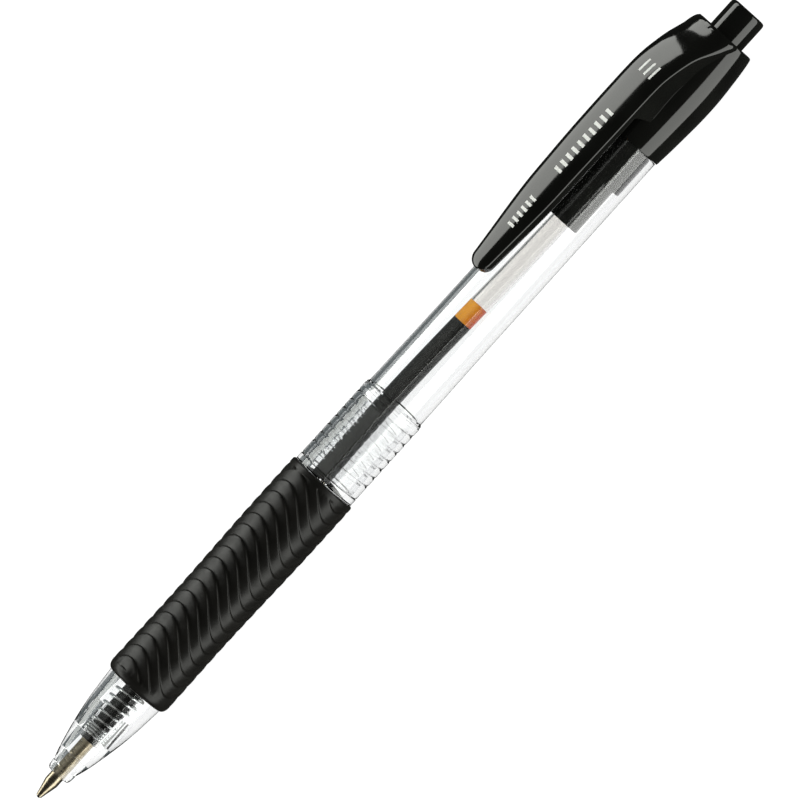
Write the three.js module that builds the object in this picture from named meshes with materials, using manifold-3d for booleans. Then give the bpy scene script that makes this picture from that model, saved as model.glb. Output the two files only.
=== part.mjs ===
// Retractable gel pen, in millimetres. The pen lies along X with its writing tip at -X,
// its push button at +X and its clip straight up. Stations are measured along the pen
// from the front of the writing ball; radii are measured from the pen's axis.
import * as THREE from 'three';
import { mergeVertices } from 'three/addons/utils/BufferGeometryUtils.js';
import Module from 'manifold-3d';

const wasm = await Module();
wasm.setup();

// ---------------------------------------------------------------- driving dimensions
const PEN_LENGTH = 145;
const AROUND = 32;          // facets around the large turned pieces
const AROUND_SMALL = 20;    // facets around the refill, tip and ball

// writing ball and metal tip
const BALL_RADIUS = 0.35;
const LIP_START = 0.2;
const LIP_BORE = 0.33;
const LIP_RADIUS = 0.42;
const SOCKET_RADIUS = 0.375;
const SOCKET_END = 0.8;
const INK_CHANNEL = 0.16;
const CONE_END = 2.76;
const TIP_RADIUS = 1.02;
const TUBE_START = 10.6;
const TIP_STEM_RADIUS = 1.12;
const TIP_STEM_END = 12.2;
const TIP_BACK_BORE = 0.8;
const TIP_BACK_BORE_START = 4.2;

// refill tube and what it holds
const TUBE_RADIUS = 1.46;
const TUBE_BORE = 1.15;
const TUBE_END = 111.6;
const FILL_RADIUS = 1.12;   // ink and follower stand this far out, just clear of the bore
const INK_START = 12.25;
const INK_END = 87.1;
const FOLLOWER_START = 87.12;
const FOLLOWER_END = 90.5;
const MENISCUS_DEPTH = 0.45;
const EAR_START = 33.6;
const EAR_END = 36.2;
const EAR_REACH = 2.6;
const EAR_THICKNESS = 0.6;

// front barrel: clear nose, core under the grip, flange and threaded spigot
const NOSE_START = 4.13;
const NOSE_OUTLINE = [
  [4.13, 1.65], [4.55, 1.9], [5.35, 1.98], [5.5, 1.88], [6.24, 2.17], [8.98, 2.9],
  [11.7, 3.47], [14.4, 3.92], [17.2, 4.22], [19.7, 4.43],
];
const MOUTH_BORE = 1.15;
const MOUTH_BORE_END = 5.5;
const GUIDE_BORE = 1.3;
const GUIDE_BORE_END = 7.75;
const THROAT_BORE = 1.85;
const SPRING_SEAT = 11.45;
const CHAMBER_BORE = 3.2;
const CHAMBER_END = 58.6;
const CORE_RADIUS = 4.05;
const CORE_START = 19.75;
const FLANGE_START = 58.35;
const FLANGE_END = 59.45;
const FLANGE_RADIUS = 4.97;
const SPIGOT_RADIUS = 4.2;
const SPIGOT_BORE = 3.5;
const SPIGOT_END = 71.0;
const SPIGOT_CHAMFER = 0.3;
const NOSE_RIBS = 4;
const NOSE_RIB_END = 15.9;
const NOSE_RIB_INNER = 2.45;
const NOSE_RIB_WIDTH = 0.7;
const NOSE_RIB_TURN = -16;  // degrees from the clip to the first rib

// rubber grip
const GRIP_RADIUS = 5.36;   // the largest radius of the lower pen, on which it rests
const GRIP_START = 19.8;
const GRIP_END = 58.3;
const GRIP_BORE = 4.08;
const GRIP_OUTLINE = [[20.9, 5.05], [32, 5.0], [53, GRIP_RADIUS], [57.6, 5.32]];
const GRIP_FRONT_CORNER = 1.1;
const GRIP_REAR_CORNER = 0.35;
const GROOVE_PITCH = 2.015;
const GROOVE_FIRST = 24.4;
const GROOVES = 16;
const GROOVE_DEPTH = 0.18;
const GROOVE_SHARE = 0.22;  // part of each pitch taken by the groove's steep wall
const GROOVE_WAVE = 2.46;   // how far each groove swings along the pen, two waves around
const WAVE_FADE = 5;        // length at each end of the grip over which the waves level out

// upper barrel
const UPPER_START = 59.55;
const UPPER_END = 120.9;
const THREAD_PITCH = 1.53;
const UPPER_RIBS = 8;
const UPPER_RIB_FIRST = 60.35;
const UPPER_RIB_WIDTH = 0.7;
const UPPER_RIB_CREST = 4.95;
const UPPER_RIB_ROOT = 4.66;
const THREAD_BORE = 4.35;
const THREAD_BORE_END = 72.2;
const UPPER_OUTLINE = [[73, 4.7], [83, 4.58], [100, 4.53], [UPPER_END, 4.48]];
const UPPER_BORE = 4.0;
const UPPER_BORE_END = 104;
const UPPER_REAR_BORE = 3.8;

// end cap with its plug, guide ribs and the root of the clip
const PLUG_START = 114.2;
const PLUG_RADIUS = 3.65;
const CAP_START = 121.0;
const CAP_OUTLINE = [
  [121.0, 4.62], [121.12, 4.72], [125, 5.0], [128.5, 5.19], [130.6, 5.26], [132.6, 5.26],
  [136, 5.04], [139.4, 4.7], [140.0, 4.52], [140.3, 4.28],
];
const CAP_BORE = 2.95;
const GUIDE_RIBS = 4;
const GUIDE_RIB_START = 122.4;
const GUIDE_RIB_END = 131.5;
const GUIDE_RIB_INNER = 2.4;
const GUIDE_RIB_WIDTH = 0.9;
const HOOD_BASE = 1.5;      // height above the axis from which the clip's root is built up
// clip and root sections: station, height of the upper edges, half width, crown rise
const ROOT_SECTIONS = [
  [124.6, 7.71, 3.34, 0.45], [129.2, 7.63, 3.37, 0.45], [131.9, 7.11, 3.48, 0.5],
  [134.7, 6.1, 3.61, 0.65], [136.7, 4.73, 3.88, 1.1], [138.0, 3.75, 4.1, 1.65],
  [139.2, 2.8, 4.3, 2.05],
];
const CLIP_SECTIONS = [
  [94.15, 6.45, 0.55, 0.1], [94.4, 6.72, 1.15, 0.2], [94.9, 6.95, 1.6, 0.3],
  [95.7, 7.06, 1.83, 0.38], [100, 7.24, 2.26, 0.42], [107.3, 7.54, 2.94, 0.45],
  [112, 7.66, 3.1, 0.45], [116.9, 7.74, 3.23, 0.45], [124.3, 7.71, 3.34, 0.45],
];
const CLIP_UNDERSIDE = [[94.15, 5.55], [124.3, 6.6]];

// rotor of the click mechanism
const ROTOR_START = 106.65;
const ROTOR_RADIUS = 2.8;
const ROTOR_BORE = 1.62;
const ROTOR_BORE_END = 112.0;
const ROTOR_BODY_END = 116.0;
const ROTOR_NECK_RADIUS = 2.2;
const ROTOR_END = 121.8;
const ROTOR_SPLINE_START = 118.2;

// push button with its plunger
const PLUNGER_START = 122.3;
const PLUNGER_RADIUS = 2.2;
const KNOB_START = 133.5;
const KNOB_RADIUS = 2.84;
const KNOB_CORNER = 0.55;
const PLUNGER_SPLINE_END = 129;
const SPLINES = 4;
const SPLINE_REACH = 2.8;
const SPLINE_WIDTH = 1.1;
const TEETH_CUTS = 4;       // each cut goes right across and leaves two notches
const TOOTH_DEPTH = 0.8;
const TOOTH_WIDTH = 1.1;

// return spring
const WIRE_RADIUS = 0.2;
const COIL_RADIUS = 2.1;
const COIL_STEPS = 12;
const WIRE_SIDES = 5;
const SPRING_START = 11.72;
const SPRING_END = 33.36;
const CLOSED_PITCH = 0.44;
const FRONT_CLOSED_COILS = 3.5;
const REAR_CLOSED_COILS = 2.5;
const ACTIVE_COILS = 15;

// ---------------------------------------------------------------- materials
const plastic = (color, roughness, extra = {}) =>
  new THREE.MeshStandardMaterial({ color, roughness, metalness: 0, ...extra });
const metal = (color, roughness) =>
  new THREE.MeshStandardMaterial({ color, roughness, metalness: 1 });

const MATERIALS = {
  clear: plastic(0xf1f4f5, 0.06, { transparent: true, opacity: 0.3 }),
  tube: plastic(0xe9e7e0, 0.25, { transparent: true, opacity: 0.45 }),
  black: plastic(0x0b0b0d, 0.12),
  rubber: plastic(0x141415, 0.75),
  ink: plastic(0x050506, 0.2),
  follower: plastic(0xc9852c, 0.25, { transparent: true, opacity: 0.8 }),
  nickel: metal(0xc9bd9c, 0.28),
  steel: metal(0xb4b6b8, 0.25),
  carbide: metal(0x8e9195, 0.2),
};

// ---------------------------------------------------------------- shape helpers
// Joins shared corners, drops collapsed triangles and turns every face outward.
function closed(geometry) {
  geometry.deleteAttribute('normal');
  geometry.deleteAttribute('uv');
  const merged = mergeVertices(geometry, 1e-5);
  const index = merged.index.array;
  const at = merged.attributes.position;
  const corners = [];
  let volume = 0;
  const [a, b, c] = [new THREE.Vector3(), new THREE.Vector3(), new THREE.Vector3()];
  for (let i = 0; i < index.length; i += 3) {
    const [p, q, r] = [index[i], index[i + 1], index[i + 2]];
    if (p === q || q === r || r === p) continue;
    corners.push(p, q, r);
    a.fromBufferAttribute(at, p);
    b.fromBufferAttribute(at, q);
    c.fromBufferAttribute(at, r);
    volume += a.dot(b.cross(c));
  }
  if (volume < 0) corners.reverse();
  merged.setIndex(corners);
  return merged;
}

function toManifold(geometry) {
  const mesh = new wasm.Mesh({
    numProp: 3,
    vertProperties: new Float32Array(geometry.attributes.position.array),
    triVerts: new Uint32Array(geometry.index.array),
  });
  return new wasm.Manifold(mesh);
}

function toGeometry(manifold) {
  const mesh = manifold.getMesh();
  const geometry = new THREE.BufferGeometry();
  geometry.setAttribute('position', new THREE.BufferAttribute(mesh.vertProperties, 3));
  geometry.setIndex(new THREE.BufferAttribute(mesh.triVerts, 1));
  return geometry;
}

const joined = (...pieces) => toGeometry(wasm.Manifold.union(pieces.map(toManifold)));
const cut = (body, ...tools) =>
  toGeometry(wasm.Manifold.difference([body, ...tools].map(toManifold)));

// A piece turned about the pen's axis from a closed outline of [station, radius] points,
// with a flat facet at the bottom for the pen to lie on.
function turned(outline, around = AROUND) {
  const loop = [...outline, outline[0]].map(([station, radius]) =>
    new THREE.Vector2(radius, station));
  const turn = Math.PI / around;
  return closed(new THREE.LatheGeometry(loop, around, turn).rotateZ(-Math.PI / 2));
}

// A closed skin over cross-sections, each a list of as many points in order.
function lofted(sections) {
  const size = sections[0].length;
  const positions = sections.flat(2);
  const faces = [];
  for (let i = 0; i + 1 < sections.length; i++) {
    for (let j = 0; j < size; j++) {
      const [a, b] = [i * size + j, i * size + (j + 1) % size];
      faces.push(a, b, b + size, a, b + size, a + size);
    }
  }
  const last = (sections.length - 1) * size;
  for (let j = 1; j + 1 < size; j++) {
    faces.push(0, j + 1, j, last, last + j, last + j + 1);
  }
  const geometry = new THREE.BufferGeometry();
  geometry.setAttribute('position', new THREE.Float32BufferAttribute(positions, 3));
  geometry.setIndex(faces);
  return closed(geometry);
}

// A rib along the pen: a block between two stations and two radii, at an angle from the clip.
function rib(start, end, inner, outer, width, degrees) {
  const box = new THREE.BoxGeometry(end - start, width, outer - inner);
  box.translate((start + end) / 2, 0, (inner + outer) / 2);
  return closed(box.rotateX(THREE.MathUtils.degToRad(degrees)));
}

function ribs(count, firstDegrees, start, end, inner, outer, width) {
  return Array.from({ length: count }, (_, i) =>
    rib(start, end, inner, outer, width, firstDegrees + (360 / count) * i));
}

// Wedges right across the axis, with their edge pointing along direction * X.
function toothCutters(station, direction) {
  return Array.from({ length: TEETH_CUTS }, (_, i) => {
    const wedge = new THREE.Shape([
      new THREE.Vector2(-TOOTH_WIDTH / 2 - 0.1, -0.1 * direction),
      new THREE.Vector2(TOOTH_WIDTH / 2 + 0.1, -0.1 * direction),
      new THREE.Vector2(0, TOOTH_DEPTH * direction),
    ]);
    const prism = new THREE.ExtrudeGeometry(wedge, { depth: 8, bevelEnabled: false });
    prism.translate(0, 0, -4).rotateZ(-Math.PI / 2);
    prism.rotateX((Math.PI / TEETH_CUTS) * (i + 0.5)).translate(station, 0, 0);
    return closed(prism);
  });
}

// ---------------------------------------------------------------- refill
function writingBall() {
  const steps = 8;
  const outline = Array.from({ length: steps + 1 }, (_, i) => {
    const angle = (Math.PI * i) / steps;
    return [BALL_RADIUS * (1 - Math.cos(angle)), BALL_RADIUS * Math.sin(angle)];
  });
  return turned(outline.map(([s, r]) => [s, Math.max(r, 0)]), AROUND_SMALL);
}

function metalTip() {
  return turned([
    [LIP_START, LIP_BORE], [LIP_START, LIP_RADIUS], [CONE_END, TIP_RADIUS],
    [TUBE_START - 0.05, TIP_RADIUS], [TUBE_START - 0.05, TIP_STEM_RADIUS],
    [TIP_STEM_END, TIP_STEM_RADIUS], [TIP_STEM_END, TIP_BACK_BORE],
    [TIP_BACK_BORE_START, TIP_BACK_BORE], [TIP_BACK_BORE_START - 0.6, INK_CHANNEL],
    [SOCKET_END, INK_CHANNEL], [SOCKET_END - 0.08, SOCKET_RADIUS],
    [BALL_RADIUS, SOCKET_RADIUS],
  ], AROUND_SMALL);
}

function refillTube() {
  const tube = turned([
    [TUBE_START, TUBE_BORE], [TUBE_START, TUBE_RADIUS],
    [TUBE_END, TUBE_RADIUS], [TUBE_END, TUBE_BORE],
  ], AROUND_SMALL);
  const inside = (TUBE_BORE + TUBE_RADIUS) / 2 + 0.05;
  return joined(tube, ...ribs(2, 90, EAR_START, EAR_END, inside, EAR_REACH, EAR_THICKNESS));
}

function inkColumn() {
  return turned([
    [INK_START, 0], [INK_START, FILL_RADIUS], [INK_END, FILL_RADIUS], [INK_END, 0],
  ], AROUND_SMALL);
}

function followerGrease() {
  return turned([
    [FOLLOWER_START, 0], [FOLLOWER_START, FILL_RADIUS], [FOLLOWER_END, FILL_RADIUS],
    [FOLLOWER_END - MENISCUS_DEPTH * 0.7, FILL_RADIUS * 0.6], [FOLLOWER_END - MENISCUS_DEPTH, 0],
  ], AROUND_SMALL);
}

// A round wire wound from closed coils into open ones and back, with flat cut ends.
function returnSpring() {
  const closedFront = FRONT_CLOSED_COILS * CLOSED_PITCH;
  const closedRear = REAR_CLOSED_COILS * CLOSED_PITCH;
  const activePitch =
    (SPRING_END - SPRING_START - closedFront - closedRear) / ACTIVE_COILS;
  const coils = FRONT_CLOSED_COILS + ACTIVE_COILS + REAR_CLOSED_COILS;
  const stationAt = (turns) =>
    SPRING_START + CLOSED_PITCH * turns +
    (activePitch - CLOSED_PITCH) *
      Math.min(Math.max(turns - FRONT_CLOSED_COILS, 0), ACTIVE_COILS);
  const sections = [];
  for (let i = 0; i <= coils * COIL_STEPS; i++) {
    const turns = i / COIL_STEPS;
    const angle = turns * 2 * Math.PI;
    const section = [];
    for (let j = 0; j < WIRE_SIDES; j++) {
      const around = (2 * Math.PI * j) / WIRE_SIDES;
      const radius = COIL_RADIUS + WIRE_RADIUS * Math.cos(around);
      const station = stationAt(turns) + WIRE_RADIUS * Math.sin(around);
      section.push([station, -radius * Math.sin(angle), radius * Math.cos(angle)]);
    }
    sections.push(section);
  }
  return lofted(sections);
}

// ---------------------------------------------------------------- front section
function frontBarrel() {
  const shell = turned([
    ...NOSE_OUTLINE,
    [CORE_START, CORE_RADIUS], [FLANGE_START, CORE_RADIUS],
    [FLANGE_START, FLANGE_RADIUS], [FLANGE_END, FLANGE_RADIUS],
    [FLANGE_END, SPIGOT_RADIUS], [SPIGOT_END - SPIGOT_CHAMFER, SPIGOT_RADIUS],
    [SPIGOT_END, SPIGOT_RADIUS - SPIGOT_CHAMFER], [SPIGOT_END, SPIGOT_BORE],
    [CHAMBER_END, SPIGOT_BORE], [CHAMBER_END - 0.3, CHAMBER_BORE],
    [SPRING_SEAT, CHAMBER_BORE], [SPRING_SEAT, THROAT_BORE],
    [GUIDE_BORE_END, THROAT_BORE], [GUIDE_BORE_END, GUIDE_BORE],
    [MOUTH_BORE_END, GUIDE_BORE], [MOUTH_BORE_END, MOUTH_BORE],
    [NOSE_START, MOUTH_BORE],
  ]);
  const start = SPRING_SEAT - 0.1;
  const buried = CHAMBER_BORE + 0.1;
  return joined(shell, ...ribs(
    NOSE_RIBS, NOSE_RIB_TURN, start, NOSE_RIB_END, NOSE_RIB_INNER, buried, NOSE_RIB_WIDTH));
}

// Radius of the grip's smooth outline at a station.
function gripRadius(station) {
  const next = GRIP_OUTLINE.findIndex(([s]) => s >= station);
  if (next <= 0) return GRIP_OUTLINE.at(next)[1];
  const [[s0, r0], [s1, r1]] = GRIP_OUTLINE.slice(next - 1, next + 1);
  return r0 + ((r1 - r0) * (station - s0)) / (s1 - s0);
}

// Lapped grooves: each land rises slowly towards the button, then drops in a short step.
function gripSleeve() {
  const frontRadius = GRIP_OUTLINE[0][1];
  const rearRadius = GRIP_OUTLINE.at(-1)[1];
  const outline = [
    [GRIP_START, GRIP_BORE],
    [GRIP_START, frontRadius - GRIP_FRONT_CORNER * 0.7],
    [GRIP_START + GRIP_FRONT_CORNER * 0.3, frontRadius - GRIP_FRONT_CORNER * 0.25],
    [GRIP_START + GRIP_FRONT_CORNER, frontRadius],
  ];
  for (let i = 0; i < GROOVES; i++) {
    const crest = GROOVE_FIRST + GROOVE_PITCH * i;
    const root = crest + GROOVE_PITCH * GROOVE_SHARE;
    outline.push([crest, gripRadius(crest)], [root, gripRadius(root) - GROOVE_DEPTH]);
  }
  outline.push(
    [GRIP_END - 1.2, gripRadius(GRIP_END - 1.2)],
    [GRIP_END - GRIP_REAR_CORNER, rearRadius],
    [GRIP_END, rearRadius - GRIP_REAR_CORNER],
    [GRIP_END, GRIP_BORE],
  );
  const geometry = turned(outline);
  const at = geometry.attributes.position;
  for (let i = 0; i < at.count; i++) {
    const [station, y, z] = [at.getX(i), at.getY(i), at.getZ(i)];
    if (Math.hypot(y, z) < GRIP_BORE + 0.01) continue;
    const reach = Math.min(station - GRIP_START, GRIP_END - station) / WAVE_FADE;
    const swing = GROOVE_WAVE * THREE.MathUtils.smoothstep(reach, 0.25, 1.4);
    at.setX(i, station + swing * Math.cos(2 * Math.atan2(y, z)));
  }
  return geometry;
}

// ---------------------------------------------------------------- upper barrel and cap
function upperBarrel() {
  const outline = [[UPPER_START, THREAD_BORE], [UPPER_START, UPPER_RIB_ROOT]];
  for (let i = 0; i < UPPER_RIBS; i++) {
    const start = UPPER_RIB_FIRST + THREAD_PITCH * i;
    outline.push(
      [start, UPPER_RIB_ROOT], [start + 0.12, UPPER_RIB_CREST],
      [start + UPPER_RIB_WIDTH - 0.12, UPPER_RIB_CREST],
      [start + UPPER_RIB_WIDTH, UPPER_RIB_ROOT],
    );
  }
  outline.push(
    ...UPPER_OUTLINE,
    [UPPER_END, UPPER_REAR_BORE], [UPPER_BORE_END, UPPER_REAR_BORE],
    [UPPER_BORE_END - 4, UPPER_BORE], [THREAD_BORE_END, UPPER_BORE],
    [THREAD_BORE_END - 0.3, THREAD_BORE],
  );
  return turned(outline);
}

// One cross-section of the clip: flat below, upright sides and a gently crowned top.
function clipSection([station, edge, halfWidth, crown], under) {
  return [
    [station, -halfWidth, under], [station, halfWidth, under],
    [station, halfWidth, edge], [station, halfWidth * 0.6, edge + crown * 0.66],
    [station, 0, edge + crown],
    [station, -halfWidth * 0.6, edge + crown * 0.66], [station, -halfWidth, edge],
  ];
}

function capShell() {
  const body = turned([
    [PLUG_START, 0], [PLUG_START, PLUG_RADIUS - 0.2], [PLUG_START + 0.2, PLUG_RADIUS],
    [CAP_START, PLUG_RADIUS], ...CAP_OUTLINE, [CAP_OUTLINE.at(-1)[0], 0],
  ]);
  const root = lofted(ROOT_SECTIONS.map((section) => clipSection(section, HOOD_BASE)));
  const bore = turned([
    [PLUG_START - 1, 0], [PLUG_START - 1, CAP_BORE],
    [PEN_LENGTH, CAP_BORE], [PEN_LENGTH, 0],
  ]);
  const hollow = cut(joined(body, root), bore);
  return joined(hollow, ...ribs(
    GUIDE_RIBS, 0, GUIDE_RIB_START, GUIDE_RIB_END, GUIDE_RIB_INNER, CAP_BORE + 0.15,
    GUIDE_RIB_WIDTH));
}

function clip() {
  const [[s0, z0], [s1, z1]] = CLIP_UNDERSIDE;
  return lofted(CLIP_SECTIONS.map((section) =>
    clipSection(section, z0 + ((z1 - z0) * (section[0] - s0)) / (s1 - s0))));
}

// ---------------------------------------------------------------- click mechanism
function rotor() {
  const body = turned([
    [ROTOR_START, ROTOR_BORE], [ROTOR_START, ROTOR_RADIUS - 0.15],
    [ROTOR_START + 0.15, ROTOR_RADIUS], [ROTOR_BODY_END, ROTOR_RADIUS],
    [ROTOR_BODY_END + 0.5, ROTOR_NECK_RADIUS], [ROTOR_END, ROTOR_NECK_RADIUS],
    [ROTOR_END, 0], [ROTOR_BORE_END, 0], [ROTOR_BORE_END, ROTOR_BORE],
  ]);
  const splined = joined(body, ...ribs(
    SPLINES, 45, ROTOR_SPLINE_START, ROTOR_END, 1.5, SPLINE_REACH - 0.05, SPLINE_WIDTH));
  return cut(splined, ...toothCutters(ROTOR_END, -1));
}

function pushButton() {
  const body = turned([
    [PLUNGER_START, 0], [PLUNGER_START, PLUNGER_RADIUS], [KNOB_START, PLUNGER_RADIUS],
    [KNOB_START, KNOB_RADIUS], [PEN_LENGTH - KNOB_CORNER, KNOB_RADIUS],
    [PEN_LENGTH - KNOB_CORNER * 0.3, KNOB_RADIUS - KNOB_CORNER * 0.3],
    [PEN_LENGTH, KNOB_RADIUS - KNOB_CORNER], [PEN_LENGTH, 0],
  ]);
  const splined = joined(body, ...ribs(
    SPLINES, 45, PLUNGER_START, PLUNGER_SPLINE_END, 1.5, SPLINE_REACH - 0.05,
    SPLINE_WIDTH));
  return cut(splined, ...toothCutters(PLUNGER_START, 1));
}

// ---------------------------------------------------------------- assembly
const PARTS = {
  upper_barrel: [upperBarrel, MATERIALS.clear],
  cap_shell: [capShell, MATERIALS.black],
  clip: [clip, MATERIALS.black],
  push_button: [pushButton, MATERIALS.black],
  rotor: [rotor, MATERIALS.black],
  front_barrel: [frontBarrel, MATERIALS.clear],
  grip_sleeve: [gripSleeve, MATERIALS.rubber],
  return_spring: [returnSpring, MATERIALS.steel],
  refill_tube: [refillTube, MATERIALS.tube],
  ink_column: [inkColumn, MATERIALS.ink],
  follower_grease: [followerGrease, MATERIALS.follower],
  metal_tip: [metalTip, MATERIALS.nickel],
  writing_ball: [writingBall, MATERIALS.carbide],
};

// height of the pen's axis when it lies on the grip's widest facet
const REST_HEIGHT = GRIP_RADIUS * Math.cos(Math.PI / AROUND);

const pen = new THREE.Group();
pen.name = 'pen';
pen.position.set(-PEN_LENGTH / 2, 0, REST_HEIGHT);
for (const [name, [build, material]] of Object.entries(PARTS)) {
  const mesh = new THREE.Mesh(build(), material);
  mesh.name = name;
  pen.add(mesh);
}

const group = new THREE.Group();
group.name = 'retractable_gel_pen';
group.add(pen);

export default group;
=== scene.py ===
import math

import bmesh
import bpy
import numpy as np
from mathutils import Matrix, Vector

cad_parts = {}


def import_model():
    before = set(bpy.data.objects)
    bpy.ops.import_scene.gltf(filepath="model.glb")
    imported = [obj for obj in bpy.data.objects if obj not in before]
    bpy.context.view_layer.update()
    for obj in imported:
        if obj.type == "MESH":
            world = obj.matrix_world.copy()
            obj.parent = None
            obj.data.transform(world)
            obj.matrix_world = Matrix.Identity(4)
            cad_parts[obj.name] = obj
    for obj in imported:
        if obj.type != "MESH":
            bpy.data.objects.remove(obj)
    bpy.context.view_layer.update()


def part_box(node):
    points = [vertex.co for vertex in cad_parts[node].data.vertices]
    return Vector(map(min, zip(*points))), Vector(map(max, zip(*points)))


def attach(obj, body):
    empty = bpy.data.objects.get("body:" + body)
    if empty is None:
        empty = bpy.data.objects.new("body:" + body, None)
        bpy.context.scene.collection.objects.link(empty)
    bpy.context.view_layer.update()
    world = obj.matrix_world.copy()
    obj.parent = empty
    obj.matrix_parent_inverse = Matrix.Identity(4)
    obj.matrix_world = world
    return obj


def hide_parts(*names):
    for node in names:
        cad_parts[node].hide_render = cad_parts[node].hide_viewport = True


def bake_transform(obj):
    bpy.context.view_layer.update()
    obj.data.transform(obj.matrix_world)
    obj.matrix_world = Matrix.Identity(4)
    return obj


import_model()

# ------------------------------------------------------------------ dimensions (mm)
# Stations run along the pen from the front of the ball; radii are from the pen's axis.
MM = 0.001
TAU = 2 * math.pi
PEN_LENGTH = 145.0
AXIS_HEIGHT = (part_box("push_button")[0][2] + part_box("push_button")[1][2]) / 2 / MM
AROUND = 128                    # points around a turned piece
FINE_AROUND = 256               # around the grip and the upper barrel
REFILL_AROUND = 96

BALL_RADIUS = 0.35
TIP_RADIUS = 1.02
STEM_RADIUS = 1.12              # the part of the metal tip that the tube is pressed on
STEM_END = 12.2
TUBE_RADIUS = 1.46
TUBE_BORE = 1.15
TUBE_ENDS = (10.6, 111.6)
EARS = (33.55, 36.2)            # two fins on the tube, which seat the spring's rear end
EAR_HEIGHT = 1.12
INK_RADIUS = 1.22               # reaches into the wall of the tube, so no air shows between
INK_START = 12.25
BOW = 0.85                      # how far the refill bows off the axis
BOW_ENDS = (30.0, 111.0)
BOW_SIDE = (0.766, 0.643)       # y and z of the bow's direction, across the view to the clip

SPRING_ENDS = (11.68, 33.34)
SPRING_BLEND = (12.6, 32.6)     # stations on the spring; only their points on the axis are worked out
SPRING_TURNS = (3.5, 15, 2.5)   # closed at the front, open, closed at the rear
CLOSED_PITCH = 0.43
COIL_RADIUS = 2.1               # of the middle of the wire
WIRE_RADIUS = 0.2

NOSE_OUTLINE = [
    (5.5, 1.9), (6.24, 2.17), (8.98, 2.9), (11.7, 3.47), (14.4, 3.92), (17.2, 4.22), (19.7, 4.43)]
CHAMBER_RADIUS = 3.2            # the bore that the spring lies in
NOSE_RIBS = (11.4, 15.95)       # four ribs in the chamber
NOSE_RIB_RADIUS = 2.45          # how far in they reach
NOSE_RIB_ANGLE = math.radians(16)
NOSE_RIB_HALF = 0.13            # half their width, in radians
CORE_RADIUS = 4.05              # the front barrel under the grip
FLANGE_RADIUS = 4.97
THREAD = (60.4, 70.4)
THREAD_PITCH = 1.53
THREAD_RADIUS = 4.24
THREAD_HEIGHT = 0.1

GRIP_OUTLINE = [
    (19.95, 5.12), (22, 5.13), (27, 5.1), (32, 5.07), (40, 5.17), (47, 5.29), (53, 5.325),
    (57, 5.31), (58.3, 5.28)]
GRIP_BORE = 4.08
GRIP_PATTERN = (21.2, 57.5)
GRIP_FIRST = 20.84              # the first crest
GRIP_PITCH = 2.015
GRIP_WAVE = 2.46                # how far a groove swings along the pen
GRIP_STEP = 0.3                 # depth of a groove
GRIP_FADE = 0.35                # length over which the grooves end
GRIP_CUT = [                    # a groove's section: share of the pitch, share of the depth
    (0.0, 1.0), (0.1, 0.87), (0.35, 0.5), (0.6, 0.2), (0.71, 0.04), (0.77, 0.0), (0.82, 0.0),
    (0.87, 0.13), (0.96, 0.95)]

RING_START = 61.5               # the upper barrel's rings over the thread
RING_RADIUS = 4.95
RING_DEPTH = 0.09
RING_DIP = 0.2                  # half the width of the dip between two rings, in pitches
BARREL_OUTLINE = [(73.2, 4.68), (76, 4.66), (83, 4.6), (100, 4.53), (120.7, 4.48)]
BARREL_BORE = 3.8               # where the cap's plug goes in
CAP_OUTLINE = [
    (121.0, 4.68), (123, 4.86), (126, 5.06), (130, 5.25), (132.6, 5.25), (136, 5.04),
    (139.0, 4.74), (140.3, 4.55)]
CAP_BORE = 2.95
CAP_PLUG_RADIUS = 3.65

# clip and its root: station, height of the upper edges, half width, crown rise
CLIP_SECTIONS = np.array([
    (95.9, 7.06, 1.85, 0.36), (100, 7.24, 2.26, 0.4), (103.5, 7.4, 2.62, 0.42),
    (107.3, 7.54, 2.94, 0.44), (112, 7.66, 3.1, 0.45), (116.9, 7.74, 3.23, 0.45),
    (121, 7.74, 3.3, 0.45), (125.1, 7.71, 3.34, 0.45), (128, 7.66, 3.36, 0.45),
    (129.8, 7.54, 3.39, 0.46), (131.9, 7.11, 3.48, 0.5), (133.4, 6.62, 3.54, 0.56),
    (134.7, 6.1, 3.61, 0.65), (135.8, 5.46, 3.73, 0.82), (136.7, 4.73, 3.88, 1.1),
    (138.0, 3.62, 4.08, 1.6), (139.0, 2.95, 4.24, 1.88), (139.5, 2.45, 4.3, 2.2),
    (140.0, 1.75, 4.28, 2.75), (140.28, 1.3, 4.15, 2.98),
])
CLIP_TIP = 94.15
CLIP_TIP_LENGTH = 1.75          # over which the tip closes
CLIP_TIP_DROP = 0.12
CLIP_SHOULDER = 0.34            # height of the rounded upper edges
CLIP_POWER = 2.6                # of the superellipse across the clip's top
CLIP_UNDERSIDE = 5.55           # height of its flat underside at the tip
CLIP_RISE = (30, 1.08)          # the underside climbs by the second in the length of the first
CLIP_CORNER = 0.22              # of its lower edges
CLIP_ROOT = (123.6, 2.2)        # the root drops into the cap from the first, over the second
CLIP_ROOT_RADIUS = 3.3          # how near to the axis it reaches
CLIP_BLEND = (130.5, 118.0)     # stations on the clip; only their points on the axis are worked out

SPLINE_RADIUS = 2.75            # four splines guide the button and the rotor in the cap
SPLINE_HALF = 0.2               # half their width, in radians
SHANK_RADIUS = 2.2              # of the button's plunger and of the rotor's neck
BUTTON_RADIUS = 2.84
ROTOR_RADIUS = 2.8
ROTOR_BORE = 1.62
TEETH = 8                       # where the button's plunger meets the rotor
TEETH_DEPTH = 0.7


# ------------------------------------------------------------------ mesh helpers
def row(station, y, z):
    """A point of the pen in the row frame, in metres."""
    x = (station - PEN_LENGTH / 2) * MM
    return np.stack(np.broadcast_arrays(x, y * MM, (z + AXIS_HEIGHT) * MM), -1)


def on_axis(station):
    """The point of the pen's axis at a station."""
    return tuple(row(station, 0.0, 0.0).tolist())


def ease(x):
    """A smooth step from 0 to 1."""
    x = np.clip(x, 0, 1)
    return x * x * (3 - 2 * x)


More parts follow.
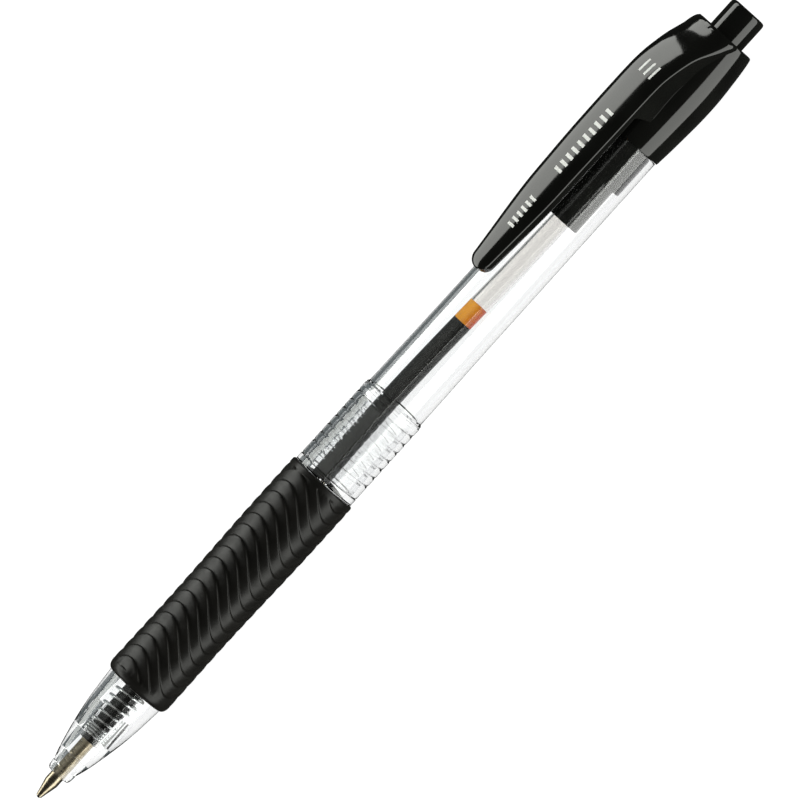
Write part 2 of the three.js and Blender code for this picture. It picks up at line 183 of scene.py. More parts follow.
def smooth(points, step):
    """Points along a smooth curve through (station, value) points, about step apart."""
    s, r = np.array(points, float).T
    slope = np.gradient(r, s)
    out = []
    for i in range(len(s) - 1):
        n = max(2, int(round((s[i + 1] - s[i]) / step)))
        h = s[i + 1] - s[i]
        t = np.arange(n) / n
        value = ((2 * t**3 - 3 * t**2 + 1) * r[i] + (t**3 - 2 * t**2 + t) * h * slope[i]
                 + (-2 * t**3 + 3 * t**2) * r[i + 1] + (t**3 - t**2) * h * slope[i + 1])
        out += list(zip(s[i] + t * h, value))
    return out + [(s[-1], r[-1])]


def rounded(points, closed=True, steps=4):
    """An outline whose corners are rounded: (station, radius) or (station, radius, corner)."""
    out = []
    n = len(points)
    for i, point in enumerate(points):
        here = np.array(point[:2], float)
        corner = point[2] if len(point) > 2 else 0
        if not corner or (not closed and i in (0, n - 1)):
            out.append(tuple(here))
            continue
        before = np.array(points[i - 1][:2], float) - here
        after = np.array(points[(i + 1) % n][:2], float) - here
        reach = [min(corner, 0.48 * np.linalg.norm(v)) for v in (before, after)]
        a = here + before / np.linalg.norm(before) * reach[0]
        b = here + after / np.linalg.norm(after) * reach[1]
        for t in np.linspace(0, 1, steps + 1):
            out.append(tuple((1 - t) ** 2 * a + 2 * t * (1 - t) * here + t * t * b))
    return out


def skin(name, grid, wrap_rows, mat, sharp=32, caps=False):
    """A mesh over a grid of points whose columns close on themselves."""
    rows, cols = grid.shape[:2]
    index = np.arange(rows * cols).reshape(rows, cols)
    below = index if wrap_rows else index[:-1]
    above = np.roll(index, -1, 0) if wrap_rows else index[1:]
    quads = np.stack([below, np.roll(below, -1, 1), np.roll(above, -1, 1), above], -1)
    faces = quads.reshape(-1, 4).tolist()
    if caps:
        faces += [index[0][::-1].tolist(), index[-1].tolist()]
    mesh = bpy.data.meshes.new(name)
    mesh.from_pydata(grid.reshape(-1, 3).tolist(), [], faces)
    bm = bmesh.new()
    bm.from_mesh(mesh)
    bmesh.ops.remove_doubles(bm, verts=bm.verts, dist=3e-7)
    bmesh.ops.dissolve_degenerate(bm, edges=bm.edges, dist=1e-7)
    bmesh.ops.recalc_face_normals(bm, faces=bm.faces)
    if bm.calc_volume(signed=True) < 0:
        bmesh.ops.reverse_faces(bm, faces=bm.faces)
    bm.to_mesh(mesh)
    bm.free()
    mesh.polygons.foreach_set("use_smooth", [True] * len(mesh.polygons))
    mesh.set_sharp_from_angle(angle=math.radians(sharp))
    mesh.materials.append(mat)
    obj = bpy.data.objects.new(name, mesh)
    bpy.context.scene.collection.objects.link(obj)
    return obj


def lathe(name, outline, mat, around=AROUND, warp=None, sharp=32, angles=None):
    """Turns a closed outline of (station, radius) points; warp(s, r, angle) reshapes it."""
    s, r = np.array(outline, float).T
    angle = np.linspace(0, TAU, around, endpoint=False) if angles is None else angles
    s, r, angle = np.broadcast_arrays(s[:, None], r[:, None], angle[None, :])
    if warp:
        s, r = warp(s, r, angle)
    return skin(name, row(s, r * np.sin(angle), r * np.cos(angle)), True, mat, sharp)


# ------------------------------------------------------------------ material helpers
class Nodes:
    """A material's node tree, with short names for the nodes that this script uses."""

    def __init__(self, name):
        self.mat = bpy.data.materials.new(name)
        self.mat.use_nodes = True
        self.tree = self.mat.node_tree
        self.shader = self.tree.nodes["Principled BSDF"]
        self.output = self.tree.nodes["Material Output"]

    def add(self, kind, inputs=None, **settings):
        node = self.tree.nodes.new(kind)
        for key, value in settings.items():
            setattr(node, key, value)
        for key, value in (inputs or {}).items():
            self.put(node.inputs[key], value)
        return node

    def put(self, socket, value):
        if isinstance(value, bpy.types.NodeSocket):
            self.tree.links.new(value, socket)
        else:
            socket.default_value = value

    def set(self, **values):
        """Sets or links the shader's own sockets, whose names have _ for each space."""
        for key, value in values.items():
            self.put(self.shader.inputs[key.replace("_", " ")], value)

    def place(self, scale=(1, 1, 1)):
        coords = self.add("ShaderNodeTexCoord").outputs["Object"]
        return self.add("ShaderNodeMapping", {"Vector": coords, "Scale": scale}).outputs[0]

    def noise(self, scale, detail=3, stretch=(1, 1, 1), roughness=0.5):
        return self.add("ShaderNodeTexNoise", {
            "Vector": self.place(stretch), "Scale": scale, "Detail": detail,
            "Roughness": roughness}).outputs["Fac"]

    def between(self, factor, low, high, start=0.3, end=0.7):
        return self.add("ShaderNodeMapRange", {
            "Value": factor, "From Min": start, "From Max": end,
            "To Min": low, "To Max": high}).outputs[0]

    def colours(self, factor, a, b, start=0.3, end=0.7):
        ramp = self.add("ShaderNodeValToRGB", {"Fac": factor})
        for element, position, colour in zip(ramp.color_ramp.elements, (start, end), (a, b)):
            element.position = position
            element.color = (*colour, 1)
        return ramp.outputs[0]

    def bump(self, height, distance, strength=1.0):
        return self.add("ShaderNodeBump", {
            "Height": height, "Distance": distance, "Strength": strength}).outputs[0]

    def open_to_lamps(self, share):
        """Lets light from lamps reach what is behind a clear piece."""
        path = self.add("ShaderNodeLightPath")
        clear = self.add("ShaderNodeBsdfTransparent", {"Color": (share, share, share, 1)})
        mix = self.add("ShaderNodeMixShader", {
            0: path.outputs["Is Shadow Ray"], 1: self.shader.outputs[0], 2: clear.outputs[0]})
        self.tree.links.new(mix.outputs[0], self.output.inputs["Surface"])


# ------------------------------------------------------------------ materials
# Noise that is stretched by a number under 1 along x runs in streaks along the pen.
def gloss_black():
    n = Nodes("gloss_black_plastic")
    n.set(Base_Color=n.colours(n.noise(160), (0.0026, 0.0027, 0.0024), (0.0052, 0.0054, 0.0047)),
          Roughness=n.between(n.noise(220, 2), 0.06, 0.1),
          IOR=1.5)
    return n.mat


def clear_plastic():
    n = Nodes("clear_plastic")
    n.set(Base_Color=n.colours(n.noise(90, 3, (0.25, 1, 1)),
                               (0.965, 0.972, 0.975), (0.99, 0.993, 0.994)),
          Roughness=n.between(n.noise(90, 2, (0.3, 1, 1)), 0.0, 0.006),
          IOR=1.58, Transmission_Weight=1.0)
    n.open_to_lamps(0.9)
    return n.mat


def tube_plastic():
    n = Nodes("refill_tube_plastic")
    n.set(Base_Color=n.colours(n.noise(120, 3, (0.15, 1, 1)),
                               (0.9, 0.885, 0.865), (0.94, 0.925, 0.905)),
          Roughness=n.between(n.noise(600, 3, (0.2, 1, 1)), 0.04, 0.09),
          IOR=1.45, Transmission_Weight=1.0)
    n.open_to_lamps(0.8)
    return n.mat


def gel_ink():
    n = Nodes("black_gel_ink")
    n.set(Base_Color=n.colours(n.noise(200, 4, (0.3, 1, 1)),
                               (0.0015, 0.0018, 0.0018), (0.005, 0.0052, 0.0048)),
          Roughness=n.between(n.noise(160, 2, (0.3, 1, 1)), 0.26, 0.34),
          IOR=1.45, Specular_IOR_Level=0.25)
    return n.mat


def amber_grease():
    """Amber grease with painted light: painted light shining through makes it orange on the clip's
    side, painted shade makes it deep red on the other, and it has a faint painted glow.
    """
    n = Nodes("amber_grease")
    # Painted light across the pen: deep red for painted shade, through to orange where light is
    # painted shining in from the clip's side.
    across = n.add("ShaderNodeVectorMath", {0: n.place(), 1: (0, *BOW_SIDE)},
                   operation="DOT_PRODUCT").outputs["Value"]
    middle = AXIS_HEIGHT * BOW_SIDE[1] + 0.3
    depth = n.between(across, 0.0, 1.0, (middle - 1.0) * MM, (middle + 0.9) * MM)
    patches = n.between(n.noise(700, 4), -0.12, 0.12)
    # Random patches of the grease's own tone, added to the painted light.
    patches_and_painted_light = n.add("ShaderNodeMath", {0: patches, 1: depth}, operation="ADD").outputs[0]
    n.set(Base_Color=n.colours(patches_and_painted_light, (0.3, 0.016, 0.004), (1.0, 0.5, 0.035), 0.05, 0.95),
          Roughness=n.between(n.noise(500, 3), 0.12, 0.25),
          IOR=1.47, Transmission_Weight=0.2,
          # Painted glow: the grease gives off a faint orange light of its own.
          Emission_Color=(0.9, 0.3, 0.02, 1), Emission_Strength=0.12)
    return n.mat


def turned_metal(name, dark, light, low, high, cut=0.9):
    """Metal with fine rings from turning; cut is how strongly they show."""
    n = Nodes(name)
    rings = n.add("ShaderNodeTexWave", {
        "Vector": n.place(), "Scale": 2600, "Distortion": 0.6, "Detail": 2, "Detail Scale": 3.0},
        wave_type="BANDS", bands_direction="X").outputs["Fac"]
    n.set(Base_Color=n.colours(n.noise(900, 4, (2, 0.4, 0.4)), dark, light),
          Roughness=n.between(n.noise(1400, 3, (3, 0.3, 0.3)), low, high),
          Normal=n.bump(rings, 0.0000022, cut),
          Metallic=1.0)
    return n.mat


def drawn_wire():
    n = Nodes("spring_wire")
    n.set(Base_Color=n.colours(n.noise(1500, 3), (0.82, 0.84, 0.84), (0.93, 0.94, 0.94)),
          Roughness=n.between(n.noise(2500, 3), 0.12, 0.24),
          Normal=n.bump(n.noise(5000, 2), 0.000002, 0.5),
          Metallic=1.0)
    return n.mat


def grip_rubber():
    n = Nodes("grip_rubber")
    grain = n.noise(5200, 4, roughness=0.65)
    n.set(Base_Color=n.colours(n.noise(240, 4), (0.0042, 0.0040, 0.0035), (0.0085, 0.0080, 0.0070)),
          Roughness=n.between(n.noise(900, 4), 0.3, 0.42),
          Normal=n.bump(grain, 0.000008, 0.6),
          IOR=1.5, Specular_IOR_Level=0.27)
    return n.mat


def white_print():
    n = Nodes("white_print")
    n.set(Base_Color=n.colours(n.noise(2600, 4), (0.88, 0.89, 0.87), (0.96, 0.97, 0.95), 0.25, 0.5),
          Roughness=n.between(n.noise(1800, 3), 0.35, 0.5),
          Normal=n.bump(n.noise(3500, 3), 0.000006, 0.6))
    return n.mat


BLACK = gloss_black()
CLEAR = clear_plastic()
TUBE = tube_plastic()
INK = gel_ink()
AMBER = amber_grease()
NICKEL = turned_metal("nickel_silver", (0.3, 0.255, 0.18), (0.42, 0.365, 0.27), 0.24, 0.34)
CARBIDE = turned_metal("carbide", (0.08, 0.08, 0.085), (0.15, 0.15, 0.16), 0.1, 0.18, 0.3)
STEEL = drawn_wire()
RUBBER = grip_rubber()
PRINT = white_print()


# ------------------------------------------------------------------ refill
def bowed(obj):
    """Bows a piece of the refill a little towards the clip's side, as a long thin tube lies."""
    mesh = obj.data
    points = np.empty(len(mesh.vertices) * 3)
    mesh.vertices.foreach_get("co", points)
    points = points.reshape(-1, 3)
    station = points[:, 0] / MM + PEN_LENGTH / 2
    along = np.clip((station - BOW_ENDS[0]) / (BOW_ENDS[1] - BOW_ENDS[0]), 0, 1)
    lift = BOW * MM * np.sin(math.pi * along) ** 2
    points[:, 1] += lift * BOW_SIDE[0]
    points[:, 2] += lift * BOW_SIDE[1]
    mesh.vertices.foreach_set("co", points.ravel())
    mesh.update()


def ears(s, r, angle):
    """Raises the two ears from the outside of the tube."""
    side = np.abs(np.sin(angle))
    fin = ease((side - 0.955) / 0.02) * ease((s - EARS[0]) / 0.2) * ease((EARS[1] - s) / 0.5)
    outside = r > (TUBE_RADIUS + TUBE_BORE) / 2
    return s, np.where(outside, r + fin * EAR_HEIGHT, r)


def ball():
    arc = np.linspace(0, math.pi, 33)
    outline = list(zip(BALL_RADIUS * (1 - np.cos(arc)), BALL_RADIUS * np.sin(arc)))
    piece = lathe("ball", outline, CARBIDE, 48)
    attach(piece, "ball")
    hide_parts("writing_ball")


def metal_tip():
    """Cone with the ball's socket, cylinder with a shallow groove, and stem."""
    outline = rounded([
        (0.2, 0.33), (0.2, 0.4, 0.02), (0.42, 0.46, 0.05), (2.76, TIP_RADIUS, 0.04),
        (3.0, TIP_RADIUS), (5.2, TIP_RADIUS), (7.6, TIP_RADIUS, 0.02), (7.66, 0.985),
        (7.86, 0.985), (7.92, TIP_RADIUS, 0.02), (10.55, TIP_RADIUS, 0.04),
        (10.55, STEM_RADIUS), (STEM_END, STEM_RADIUS), (STEM_END, 0.8), (4.2, 0.8),
        (3.6, 0.16), (0.8, 0.16), (0.72, 0.375), (0.35, 0.375)])
    piece = lathe("tip_of_metal", outline, NICKEL, REFILL_AROUND, sharp=24)
    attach(piece, "refill")
    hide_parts("metal_tip")


def tube():
    start, end = TUBE_ENDS
    outer = [33.5, *np.linspace(33.6, 36.3, 19), 36.4, *np.linspace(38, 110, 60)]
    outline = rounded([
        (start, TUBE_RADIUS, 0.08), *[(s, TUBE_RADIUS) for s in outer],
        (end, TUBE_RADIUS, 0.06), (end, TUBE_BORE, 0.06),
        *[(s, TUBE_BORE) for s in np.linspace(110, 12, 80)], (start, TUBE_BORE)])
    piece = lathe("tube_of_refill", outline, TUBE, REFILL_AROUND, ears)
    bowed(piece)
    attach(piece, "refill")
    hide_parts("refill_tube")


def ink():
    """The ink column, and the thin film of ink around the tip's stem."""
    outline = rounded([
        (INK_START, 0), *[(s, INK_RADIUS) for s in np.linspace(INK_START, 87.25, 60)],
        (86.9, 0.7), (86.86, 0)])
    piece = lathe("ink", outline, INK, REFILL_AROUND)
    bowed(piece)
    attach(piece, "refill")
    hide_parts("ink_column")

    outline = rounded([(10.62, 1.125), (10.62, 1.142), (12.24, 1.142), (12.24, 1.125)])
    film = lathe("ink_around_stem", outline, INK, REFILL_AROUND)
    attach(film, "refill")


def grease():
    """The plug that follows the ink, hollow at its rear."""
    outline = rounded([
        (86.9, 0), (86.94, 0.7), (87.3, INK_RADIUS), (90.55, INK_RADIUS, 0.05),
        (90.3, 0.95, 0.1), (90.08, 0.55, 0.2), (90.0, 0)])
    piece = lathe("grease", outline, AMBER, REFILL_AROUND)
    bowed(piece)
    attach(piece, "refill")
    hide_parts("follower_grease")


def spring():
    """Round wire wound right-handed, closed at both ends."""
    front, active, rear = SPRING_TURNS
    start, end = SPRING_ENDS
    steps, sides = 40, 14
    opening = (end - start - (front + rear) * CLOSED_PITCH) / active - CLOSED_PITCH
    turns = np.arange(int((front + rear + active) * steps) + 1) / steps
    station = start + CLOSED_PITCH * turns + opening * np.clip(turns - front, 0, active)
    soft = opening * 0.06       # eases the closed turns into the open ones
    opens = soft * np.exp(-((turns - front) / 0.35) ** 2)
    closes = soft * np.exp(-((turns - front - active) / 0.35) ** 2)
    station += opens - closes
    angle = -turns * TAU
    around = np.linspace(0, TAU, sides, endpoint=False)[None, :]
    taper = np.clip(np.minimum(turns, turns[-1] - turns) / 0.02, 0.75, 1)[:, None]
    r = COIL_RADIUS + WIRE_RADIUS * taper * np.cos(around)
    s = station[:, None] + WIRE_RADIUS * taper * np.sin(around)
    grid = row(s, r * np.sin(angle[:, None]), r * np.cos(angle[:, None]))
    coil = skin("spring_coil", grid, False, STEEL, 50, caps=True)
    ends = [on_axis(v) for v in SPRING_BLEND]
    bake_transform(coil)
    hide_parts("return_spring")


# ------------------------------------------------------------------ front section
def nose_angles():
    """Even angles around the nose, and a close pair at each side of each rib."""
    ribs = NOSE_RIB_ANGLE + np.arange(4) * TAU / 4
    angles = list(np.linspace(0, TAU, AROUND, endpoint=False))
    for side in (-NOSE_RIB_HALF, NOSE_RIB_HALF):
        for gap in (-0.005, 0.005):
            angles += list((ribs + side + gap) % TAU)
    return np.unique(np.round(angles, 5))


def ribs_and_thread(s, r, angle):
    """Raises the four ribs in the spring's chamber, and cuts the thread on the spigot."""
    near = np.abs((angle - NOSE_RIB_ANGLE + TAU / 8) % (TAU / 4) - TAU / 8) < NOSE_RIB_HALF
    wall = (r < CHAMBER_RADIUS + 0.05) & (r > CHAMBER_RADIUS - 0.1)
    rib = near & wall & (s > NOSE_RIBS[0]) & (s < NOSE_RIBS[1])
    r = np.where(rib, NOSE_RIB_RADIUS, r)
    start, end = THREAD
    runs_out = ease((s - start) / 0.5) * ease((end - s) / 0.6)
    phase = ((s - start) / THREAD_PITCH + angle / TAU) % 1.0
    ridge = ease((0.2 - np.abs(phase - 0.5)) / 0.07) * runs_out
    spigot = (r > 4.2) & (s > 60) & (s < 70.72)
    return s, r - THREAD_HEIGHT * spigot * (1 - ridge)


def nose():
    """Clear front barrel: mouth ring, ogive, core, flange and threaded spigot in one moulding."""
    mouth = rounded([
        (4.13, 1.15, 0.12), (4.13, 1.66, 0.18), (4.5, 1.86), (5.3, 1.98, 0.05),
        (5.42, 1.97, 0.05), (5.5, 1.9)], closed=False)
    core = [(20.2, 4.44), (20.22, CORE_RADIUS), (58.35, CORE_RADIUS)]
    flange = rounded([
        (58.35, 4.6), (58.35, FLANGE_RADIUS, 0.12), (59.45, FLANGE_RADIUS, 0.12), (59.45, 4.3)],
        closed=False)
    spigot = [(59.45, THREAD_RADIUS)] + [(s, THREAD_RADIUS) for s in np.arange(60.2, 70.7, 0.05)]
    spigot += rounded([
        (70.75, 4.2), (71.0, 4.0, 0.1), (71.0, 3.5, 0.12), (70.6, 3.5)], closed=False)
    bore = [(58.6, 3.5), (58.3, CHAMBER_RADIUS)]
    bore += [(s, CHAMBER_RADIUS) for s in (16.6, 15.96, 15.9, 13.5, 11.5)]
    throat = rounded([
        (11.45, CHAMBER_RADIUS), (11.45, 1.85, 0.08), (7.75, 1.85, 0.06), (7.75, 1.3, 0.05),
        (5.5, 1.3, 0.05), (5.5, 1.15, 0.04), (5.2, 1.15)], closed=False)
    outline = mouth + smooth(NOSE_OUTLINE, 0.5)[1:] + core + flange + spigot + bore + throat
    piece = lathe("clear_front_barrel", outline, CLEAR, warp=ribs_and_thread,
                  angles=nose_angles(), sharp=30)
    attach(piece, "front_section")
    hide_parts("front_barrel")


def grip():
    """Rubber sleeve: lapped grooves that swing along the pen twice around."""
    stations, radii = np.array(smooth(GRIP_OUTLINE, 0.25)).T
    angle = np.linspace(0, TAU, FINE_AROUND, endpoint=False)
    wave = GRIP_WAVE * np.cos(2 * angle)
    low, high = GRIP_PATTERN

    def radius(s):
        return np.interp(s, stations, radii)

    def circles(points):
        return [np.stack([s + 0 * angle, r + 0 * angle], -1) for s, r in points]

    quarter = np.linspace(0, math.pi / 2, 10)
    front = [(21.2 - 1.25 * math.cos(t), 4.35 + 0.775 * math.sin(t)) for t in quarter]
    rings = circles([(19.95, GRIP_BORE)] + front)
    count = int((high - low + 2 * GRIP_WAVE) / GRIP_PITCH) + 3
    for k in range(-2, count):
        for share, depth in GRIP_CUT:
            s = GRIP_FIRST + GRIP_PITCH * (k + share) + wave
            inside = ease((s - low) / GRIP_FADE) * ease((high - s) / GRIP_FADE)
            s = np.clip(s, low, high)
            rings.append(np.stack([s, radius(s) - GRIP_STEP * depth * inside], -1))
    rings += circles(rounded([
        (57.6, radius(57.6)), (58.3, radius(58.3), 0.35), (58.3, GRIP_BORE)],
        closed=False, steps=6))
    s, r = np.moveaxis(np.array(rings), -1, 0)
    piece = skin("rubber_grip", row(s, r * np.sin(angle), r * np.cos(angle)), True,
                 RUBBER, 40)
    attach(piece, "front_section")
    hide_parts("grip_sleeve")


# ------------------------------------------------------------------ upper barrel, cap and clip
def upper():
    """Clear barrel with rounded rings over its thread."""
    outline = [(59.55, 4.35), (59.55, 4.6)]
    outline += rounded([
        (59.55, 4.7), (59.55, RING_RADIUS, 0.12), (61.2, RING_RADIUS)], closed=False)
    for s in np.arange(61.3, 72.6, 0.09):
        phase = ((s - RING_START) / THREAD_PITCH + 0.25) % 1.0
        dip = ease(1 - abs(phase - 0.5) / RING_DIP)
        outline.append((s, RING_RADIUS - RING_DEPTH * dip))
    outline += [(72.75, 4.9), (72.9, 4.78), (73.0, 4.7)]
    outline += smooth(BARREL_OUTLINE, 1.5)
    outline += rounded([
        (120.8, 4.48), (120.9, 4.44), (120.9, BARREL_BORE, 0.1), (118, BARREL_BORE)], closed=False)
    outline += smooth([(100, 3.98), (110, 3.82)], 1)[::-1]
    outline += [(71.95, 4.02), (71.9, 4.35)]
    piece = lathe("clear_upper_barrel", outline, CLEAR, FINE_AROUND, sharp=30)
    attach(piece, "barrel")
    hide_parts("upper_barrel")


def cap():
    """Black end cap, with the plug that is pressed into the barrel."""
    outline = rounded([
        (114.2, CAP_BORE), (114.2, CAP_PLUG_RADIUS, 0.25), (120.98, CAP_PLUG_RADIUS),
        (120.98, 4.3), (120.98, 4.66, 0.1), (121.3, 4.72)], closed=False)
    outline += smooth(CAP_OUTLINE, 0.6)[1:-1]
    outline += rounded([
        (139.5, 4.68), (140.3, 4.52, 0.35), (140.3, CAP_BORE, 0.12), (139.8, CAP_BORE)],
        closed=False, steps=7)
    piece = lathe("end_cap", outline, BLACK, sharp=35)
    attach(piece, "barrel")
    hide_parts("cap_shell")


CLIP_CURVES = [np.array(smooth(CLIP_SECTIONS[:, [0, i]], 0.25)).T for i in (1, 2, 3)]


def section_at(station):
    """Height of the clip's upper edges, half width and crown rise at a station."""
    return [float(np.interp(station, stations, values)) for stations, values in CLIP_CURVES]


def crown_height(station, y):
    """Height of the clip's upper face above the pen's axis."""
    edge, half, rise = section_at(station)
    arch = max(0.0, 1 - abs(y / half) ** CLIP_POWER) ** (1 / CLIP_POWER)
    return edge - CLIP_SHOULDER + (rise + CLIP_SHOULDER) * arch


def clip_ring(station):
    """One closed cross-section of the clip and of its root, as (y, z) points."""
    tip = min(1.0, (station - CLIP_TIP) / CLIP_TIP_LENGTH)
    shrink = math.sqrt(max(0.0, 1 - (1 - tip) ** 2))
    edge, half, rise = section_at(max(station, CLIP_SECTIONS[0, 0]))
    run, climb = CLIP_RISE
    under = CLIP_UNDERSIDE + (station - CLIP_TIP) / run * climb
    root = float(ease((station - CLIP_ROOT[0]) / CLIP_ROOT[1]))

    turn = np.linspace(0, math.pi, 41)
    cosine, sine = np.cos(turn), np.sin(turn)
    y = half * np.sign(cosine) * np.abs(cosine) ** (2 / CLIP_POWER)
    z = edge - CLIP_SHOULDER + (rise + CLIP_SHOULDER) * sine ** (2 / CLIP_POWER)

    corner = CLIP_CORNER
    low_y = np.linspace(-half + corner, half - corner, 21)
    arc = np.sqrt(np.maximum(CLIP_ROOT_RADIUS**2 - low_y**2, 0)) * 0.999
    low_z = under * (1 - root) + arc * root
    left, right = low_z[0] + corner, low_z[-1] + corner
    inset, drop = corner * 0.3, corner * 0.7
    ring = np.array([
        *zip(y, z),
        (-half, (z[-1] + left) / 2), (-half, left), (-half + inset, left - drop),
        *zip(low_y, low_z),
        (half - inset, right - drop), (half, right), (half, (z[0] + right) / 2)])

    middle = (edge + under) / 2
    ring[:, 0] *= shrink
    ring[:, 1] = middle + (ring[:, 1] - middle) * (0.55 + 0.45 * shrink)
    ring[:, 1] -= CLIP_TIP_DROP * (1 - shrink)
    return ring


def clip():
    """Clip and its root in one moulding."""
    tip = CLIP_TIP + CLIP_TIP_LENGTH * (1 - np.cos(np.linspace(0.06, math.pi / 2, 14)))
    stations = np.r_[
        tip, np.arange(96.2, 123.5, 0.5), np.arange(123.6, 139.3, 0.2),
        np.arange(139.35, 140.28, 0.1), 140.27]
    grid = []
    for station in stations:
        ring = clip_ring(station)
        grid.append(row(np.full(len(ring), station), ring[:, 0], ring[:, 1]))
    piece = skin("clip_and_root", np.array(grid), False, BLACK, 38, caps=True)
    ends = [on_axis(v) for v in CLIP_BLEND]
    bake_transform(piece)
    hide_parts("clip")


def printed_marks():
    """Plain generic bars printed on the clip, with no lettering."""
    lift, thick = 0.018, 0.03
    across = [(s, s + 0.42, -1.1, 0.15) for s in np.arange(101.6, 106.4, 0.92)]
    across += [(s, s + 0.5, -1.2, 0.25) for s in np.arange(111.4, 122.4, 1.16)]
    along = [(129.0, 131.2, y, y + 0.36) for y in (-1.7, -0.55, 0.6)]
    strips = [[((start, y), (end, y)) for y in np.linspace(left, right, 9)]
              for start, end, left, right in across]
    strips += [[((s, left), (s, right)) for s in np.linspace(start, end, 9)]
               for start, end, left, right in along]
    ends = [on_axis(v) for v in CLIP_BLEND]
    for k, strip in enumerate(strips):
        grid = []
        for (s0, y0), (s1, y1) in strip:
            a, b = crown_height(s0, y0), crown_height(s1, y1)
            grid.append([row(s0, y0, a + lift), row(s1, y1, b + lift),
                         row(s1, y1, b - thick), row(s0, y0, a - thick)])
        piece = skin(f"print_bar_{k}", np.array(grid), False, PRINT, 50, caps=True)
        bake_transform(piece)


# ------------------------------------------------------------------ click mechanism
def on_spline(angle):
    return np.abs(angle % (TAU / 4) - TAU / 8) < SPLINE_HALF


def teeth(angle):
    """Depth of the ring of teeth between the button and the rotor."""
    return TEETH_DEPTH * np.abs((angle / TAU * TEETH) % 1 - 0.5) * 2


def button():
    """Push button, with its plunger, splines and teeth."""
    outline = rounded([
        (122.3, 0), (122.3, SHANK_RADIUS, 0.1), (133.5, SHANK_RADIUS),
        (133.5, BUTTON_RADIUS, 0.2), (144.9, BUTTON_RADIUS, 0.62), (145.0, 2.1, 0.3), (145.0, 0)],
        closed=False, steps=8)
    extra = [(s, SHANK_RADIUS) for s in (122.45, 122.6, 128.9, 129.0, 129.1)]
    cut = next(i for i, (s, r) in enumerate(outline) if s >= 133)
    outline = outline[:cut] + extra + outline[cut:]

    def warp(s, r, angle):
        spline = on_spline(angle) & (s < 129) & (r > 2.1)
        return s + teeth(angle) * (s < 122.5) * (r > 0.5), np.where(spline, SPLINE_RADIUS, r)

    piece = lathe("push_button_knob", outline, BLACK, warp=warp, sharp=35)
    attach(piece, "button")
    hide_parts("push_button")


def rotor():
    """Rotor of the click mechanism, with its splines and teeth; the refill's end is inside."""
    outline = rounded([
        (106.65, ROTOR_BORE, 0.08), (106.65, ROTOR_RADIUS, 0.15), (116.0, ROTOR_RADIUS, 0.1),
        (116.5, SHANK_RADIUS, 0.1), (118.1, SHANK_RADIUS)], closed=False)
    outline += [(s, SHANK_RADIUS) for s in (118.2, 118.3, 121.4, 121.8)]
    outline += [(121.8, 0), (112.0, 0), (112.0, ROTOR_BORE)]

    def warp(s, r, angle):
        spline = on_spline(angle) & (s > 118.15) & (s < 122) & (r > 2.1) & (r < 2.3)
        return s - teeth(angle) * (s > 121.7) * (r > 0.5), np.where(spline, SPLINE_RADIUS, r)

    piece = lathe("click_rotor", outline, BLACK, warp=warp, sharp=35)
    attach(piece, "rotor")
    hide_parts("rotor")


ball()
metal_tip()
tube()
ink()
grease()
spring()
nose()
grip()
upper()
cap()
clip()
printed_marks()
button()
rotor()


# ------------------------------------------------------------------ floor, lights and camera
# Lengths are in metres here, and stations still in mm.
ROLL = math.radians(47.8)       # how far the pen leans up from the picture's horizontal
ELEVATION = math.radians(50)
YAW = math.radians(2.5)         # the button's end is this much nearer
DISTANCE = 1.6
LENS = 527
SENSOR = 36
AIM_SIDE = 0.00026              # how far beside the axis the camera aims
TARGET = Vector(on_axis(73.67))
ALONG = Vector((1, 0, 0))
FACING = Vector((0, -math.cos(ELEVATION), math.sin(ELEVATION)))
ACROSS = Vector((0, math.sin(ELEVATION), math.cos(ELEVATION)))

LAMP_COLOUR = (0.985, 1.0, 0.95)
WORLD_COLOUR = (0.034, 0.035, 0.032, 1)
FLOOR_HALF = 6
FLAG_STATIONS = (4, 121)
FLAG = (0.0135, 0.0135, 0.04)   # y at the floor, y at the top, height
FLAG_GLOW = (0.068, 0.08, 0.084, 1)


def placed(obj, x, y, z, spot):
    """Links an object to the scene with its own axes along x, y and z and its origin at spot."""
    bpy.context.scene.collection.objects.link(obj)
    obj.matrix_world = Matrix((
        (x.x, y.x, z.x, spot.x), (x.y, y.y, z.y, spot.y), (x.z, y.z, z.z, spot.z),
        (0, 0, 0, 1)))
    return obj


def camera():
    data = bpy.data.cameras.new("camera")
    data.lens = LENS
    data.sensor_width = SENSOR
    data.clip_start = 0.01
    data.clip_end = 50
    back = (FACING * math.cos(YAW) + ALONG * math.sin(YAW)).normalized()
    right = ALONG * math.cos(ROLL) - ACROSS * math.sin(ROLL)
    right = (right - back * right.dot(back)).normalized()
    spot = TARGET - ACROSS * AIM_SIDE + back * DISTANCE
    obj = placed(bpy.data.objects.new("camera", data), right, back.cross(right), back, spot)
    bpy.context.scene.camera = obj


def card(name, corners, mat, unseen_by):
    """A flat card of the stage, hidden from the kinds of ray in unseen_by."""
    mesh = bpy.data.meshes.new(name)
    mesh.from_pydata(corners, [], [(0, 1, 2, 3)])
    mesh.materials.append(mat)
    obj = bpy.data.objects.new(name, mesh)
    bpy.context.scene.collection.objects.link(obj)
    for kind in unseen_by:
        setattr(obj, "visible_" + kind, False)


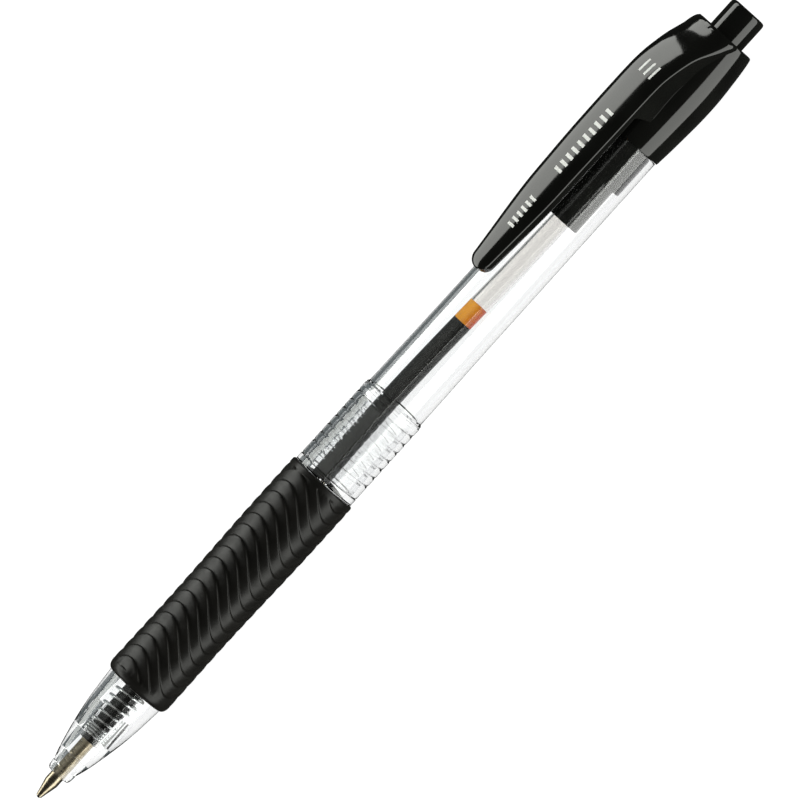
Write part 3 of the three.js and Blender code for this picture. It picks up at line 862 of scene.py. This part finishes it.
def floor():
    """Nearly all its own light, so that the picture's ground is white and without a shadow."""
    n = Nodes("pale_floor")
    n.set(Base_Color=n.colours(n.noise(6, 3), (0.09, 0.09, 0.09), (0.12, 0.12, 0.12)),
          Roughness=n.between(n.noise(9, 3), 0.75, 0.85),
          Emission_Color=(1, 1, 1, 1), Emission_Strength=1.0)
    h = FLOOR_HALF
    card("floor", [(-h, -h, 0), (h, -h, 0), (h, h, 0), (-h, h, 0)], n.mat, ("glossy", "shadow"))


def flag():
    """A black card behind the pen, which darkens the clear walls as a photographer's flag does."""
    n = Nodes("black_card")
    n.set(Base_Color=n.colours(n.noise(40, 3), (0.05, 0.055, 0.058), (0.07, 0.075, 0.078)),
          Roughness=0.9, Emission_Color=FLAG_GLOW, Emission_Strength=1.0)
    left, right = (on_axis(station)[0] for station in FLAG_STATIONS)
    low, high, top = FLAG
    corners = [(left, low, 0.0), (right, low, 0.0), (right, high, top), (left, high, top)]
    card("flag", corners, n.mat, ("camera", "diffuse", "glossy", "shadow"))


def softbox(name, degrees, distance, width, length, power, shift=0.0, shine=True):
    """A long soft lamp beside the pen, degrees round it from the camera towards the clip's side."""
    data = bpy.data.lights.new(name, "AREA")
    data.shape = "RECTANGLE"
    data.size = length
    data.size_y = width
    data.energy = power
    data.color = LAMP_COLOUR
    turn = math.radians(degrees)
    out = FACING * math.cos(turn) + ACROSS * math.sin(turn)
    spot = TARGET + out * distance + ALONG * shift
    obj = placed(bpy.data.objects.new(name, data), ALONG, ALONG.cross(out), out, spot)
    obj.visible_glossy = shine


def world():
    w = bpy.data.worlds.new("studio")
    w.use_nodes = True
    background = w.node_tree.nodes["Background"]
    background.inputs["Color"].default_value = WORLD_COLOUR
    background.inputs["Strength"].default_value = 1.0
    bpy.context.scene.world = w


camera()
floor()
flag()
world()
softbox("softbox_rear", 89, 0.5, 0.25, 1.2, 4.4, shift=-0.21)
softbox("softbox_front", -62, 0.5, 0.38, 1.2, 4.8)
softbox("fill", 40, 0.7, 0.8, 1.0, 0.8, shine=False)
bpy.context.scene.view_settings.view_transform = "Standard"
